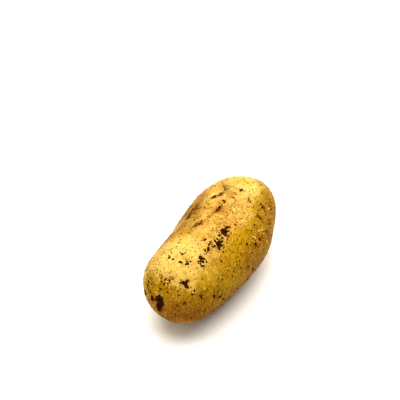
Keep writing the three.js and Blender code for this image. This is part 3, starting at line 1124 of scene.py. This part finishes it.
# %% An icosahedron
GOLDEN = (1 + 5**0.5) / 2
CRUMB_CORNERS = unit(np.array([
    (-1, GOLDEN, 0), (1, GOLDEN, 0), (-1, -GOLDEN, 0), (1, -GOLDEN, 0),
    (0, -1, GOLDEN), (0, 1, GOLDEN), (0, -1, -GOLDEN), (0, 1, -GOLDEN),
    (GOLDEN, 0, -1), (GOLDEN, 0, 1), (-GOLDEN, 0, -1), (-GOLDEN, 0, 1)], float))
CRUMB_FACES = np.array([
    (0, 11, 5), (0, 5, 1), (0, 1, 7), (0, 7, 10), (0, 10, 11),
    (1, 5, 9), (5, 11, 4), (11, 10, 2), (10, 7, 6), (7, 1, 8),
    (3, 9, 4), (3, 4, 2), (3, 2, 6), (3, 6, 8), (3, 8, 9),
    (4, 9, 5), (2, 4, 11), (6, 2, 10), (8, 6, 7), (9, 8, 1)])
print("a crumb has", len(CRUMB_CORNERS), "corners and", len(CRUMB_FACES), "faces")

# %% Where the crumbs lie
LOOSE_CRUMBS, CRUMBS_PER_CAKE = 2200, 9
LOOSE_END, NEAR_END = 48.0, 48.7
MARGIN, SCATTER = 0.8, 0.9
MEAN_RADIUS = 22.0
crumb_rng = np.random.default_rng(33)


def crumb_places():
    """Loose crumbs, kept where a random number is below the dustiness, and crumbs round each cake,
    scattered by its half length plus a margin."""
    x = crumb_rng.uniform(-LOOSE_END, LOOSE_END, 4 * LOOSE_CRUMBS)
    around = crumb_rng.uniform(-180, 180, 4 * LOOSE_CRUMBS)
    kept = crumb_rng.random(x.size) < dustiness(place(x, around)[0], CRUMB_DUST)
    x, around = x[kept][:LOOSE_CRUMBS], around[kept][:LOOSE_CRUMBS]
    near = np.repeat(cake_values, CRUMBS_PER_CAKE, axis=0)
    spread = near[:, 3] + MARGIN
    near_x = near[:, 0] + spread * crumb_rng.normal(0, SCATTER, len(near))
    near_x = np.clip(near_x, -NEAR_END, NEAR_END)
    round_it = np.degrees(spread / MEAN_RADIUS)
    near_around = near[:, 1] + round_it * crumb_rng.normal(0, SCATTER, len(near))
    return np.concatenate([x, near_x]), np.concatenate([around, near_around])


crumb_x, crumb_around = crumb_places()
print(len(crumb_x), "crumbs, of which", len(cake_values) * CRUMBS_PER_CAKE, "lie round the cakes")

# %% Crumbs of soil
SMALLEST_CRUMB, CRUMB_RANGE = 0.08, 0.26
SHORTEST_CORNER, LONGEST_CORNER = 0.65, 1.25
FLATTEST, TALLEST = 0.6, 1.3
STANDING_OUT = 0.3


def crumbs(x, around):
    """All crumbs: corners of an icosahedron times a random reach, stretch and size, turned by a
    random rotation, and set on the skin with about a third of their height sunk in."""
    count = len(x)
    size = SMALLEST_CRUMB + CRUMB_RANGE * crumb_rng.random(count) ** 3
    reach = crumb_rng.uniform(SHORTEST_CORNER, LONGEST_CORNER, (count, 12, 1))
    turns, _ = np.linalg.qr(crumb_rng.normal(size=(count, 3, 3)))
    stretch = crumb_rng.uniform(FLATTEST, TALLEST, (count, 1, 3))
    local = (CRUMB_CORNERS * reach * stretch) @ turns * size[:, None, None]
    centre, along, across, _ = (axis[:, None, :] for axis in place(x, around))
    lift = local[..., 2] + STANDING_OUT * size[:, None]
    points = lay_on_skin(centre, along, across, local[..., 0], local[..., 1], lift)
    flipped = np.linalg.det(turns) < 0
    faces = CRUMB_FACES + 12 * np.arange(count)[:, None, None]
    faces[flipped] = faces[flipped][..., ::-1]
    return points.reshape(-1, 3), faces.reshape(-1, 3)


crumb_points, crumb_faces = crumbs(crumb_x, crumb_around)
make_piece("soil_crumbs", crumb_points, crumb_faces.tolist(), soil.material)

# %% [markdown]
# ## Floor, light and camera
#
# The photograph was taken on white under broad soft light from above. One large light overhead
# gives the pale sheen on the top and the soft shadow. A weaker and smaller one at the stem end
# fills the shade there, and a white world fills the rest.

# %% Floor
FLOOR_HALF = 3.0
FLOOR_WHITE = (0.76, 0.74, 0.71, 1.0)
floor_corners = [
    (-FLOOR_HALF, -FLOOR_HALF, 0),
    (FLOOR_HALF, -FLOOR_HALF, 0),
    (FLOOR_HALF, FLOOR_HALF, 0),
    (-FLOOR_HALF, FLOOR_HALF, 0),
]
floor_mesh = bpy.data.meshes.new("floor")
floor_mesh.from_pydata(floor_corners, [], [(0, 1, 2, 3)])
floor = bpy.data.objects.new("floor", floor_mesh)
bpy.context.scene.collection.objects.link(floor)
paper = Finish("white_floor")
paper.set(Base_Color=FLOOR_WHITE, Roughness=0.9)
floor_mesh.materials.append(paper.material)
print("floor:", 2 * FLOOR_HALF, "m square")

# %% Light
LOOK_AT = Vector((0.0, 0.0, 0.021))
WORLD_STRENGTH = 0.43


def soft_light(name, at, size, power):
    """A square area light that faces the tuber: place and size in metres, power in watts."""
    lamp = bpy.data.lights.new(name, "AREA")
    lamp.size, lamp.energy = size, power
    holder = bpy.data.objects.new(name, lamp)
    bpy.context.scene.collection.objects.link(holder)
    holder.location = at
    holder.rotation_euler = (LOOK_AT - Vector(at)).to_track_quat("-Z", "Y").to_euler()
    print(f"light {name}: {power} W, {size} m wide")


soft_light("overhead", at=(0.24, 0.06, 0.9), size=1.4, power=14.2)
soft_light("fill", at=(-0.95, 0.05, 0.5), size=0.7, power=1.9)
world = bpy.data.worlds.new("white_room")
world.use_nodes = True
background = world.node_tree.nodes["Background"]
background.inputs["Color"].default_value = (1.0, 1.0, 1.0, 1.0)
background.inputs["Strength"].default_value = WORLD_STRENGTH
bpy.context.scene.world = world
bpy.context.scene.view_settings.view_transform = "Standard"
bpy.context.scene.view_settings.look = "Very High Contrast"

# %% [markdown]
# The camera stands where the outline of the potato says that the photograph was taken from. It is
# aimed beside the potato's middle, so that the middle falls on the pixel that it has there.

# %% Camera
AZIMUTH, ELEVATION = np.radians(-64.0), np.radians(42.0)
DISTANCE = 0.5551
LENS, SENSOR = 100.0, 36.0
IMAGE_SIZE = 400
MIDDLE_PIXEL = (215.5, 248.7)

level = np.cos(ELEVATION)
back = Vector((np.sin(AZIMUTH) * level, -np.cos(AZIMUTH) * level, np.sin(ELEVATION)))
right = Vector((np.cos(AZIMUTH), np.sin(AZIMUTH), 0.0))
up = back.cross(right)
pixel = DISTANCE * SENSOR / LENS / IMAGE_SIZE
pixels_right = MIDDLE_PIXEL[0] - IMAGE_SIZE / 2
pixels_down = MIDDLE_PIXEL[1] - IMAGE_SIZE / 2
aside = right * pixels_right * pixel - up * pixels_down * pixel
camera_data = bpy.data.cameras.new("camera")
camera_data.lens, camera_data.sensor_width = LENS, SENSOR
camera = bpy.data.objects.new("camera", camera_data)
bpy.context.scene.collection.objects.link(camera)
camera.location = LOOK_AT + back * DISTANCE
camera.rotation_euler = (LOOK_AT - aside - camera.location).to_track_quat("-Z", "Y").to_euler()
bpy.context.scene.camera = camera
print("camera at", [round(value, 4) for value in camera.location])
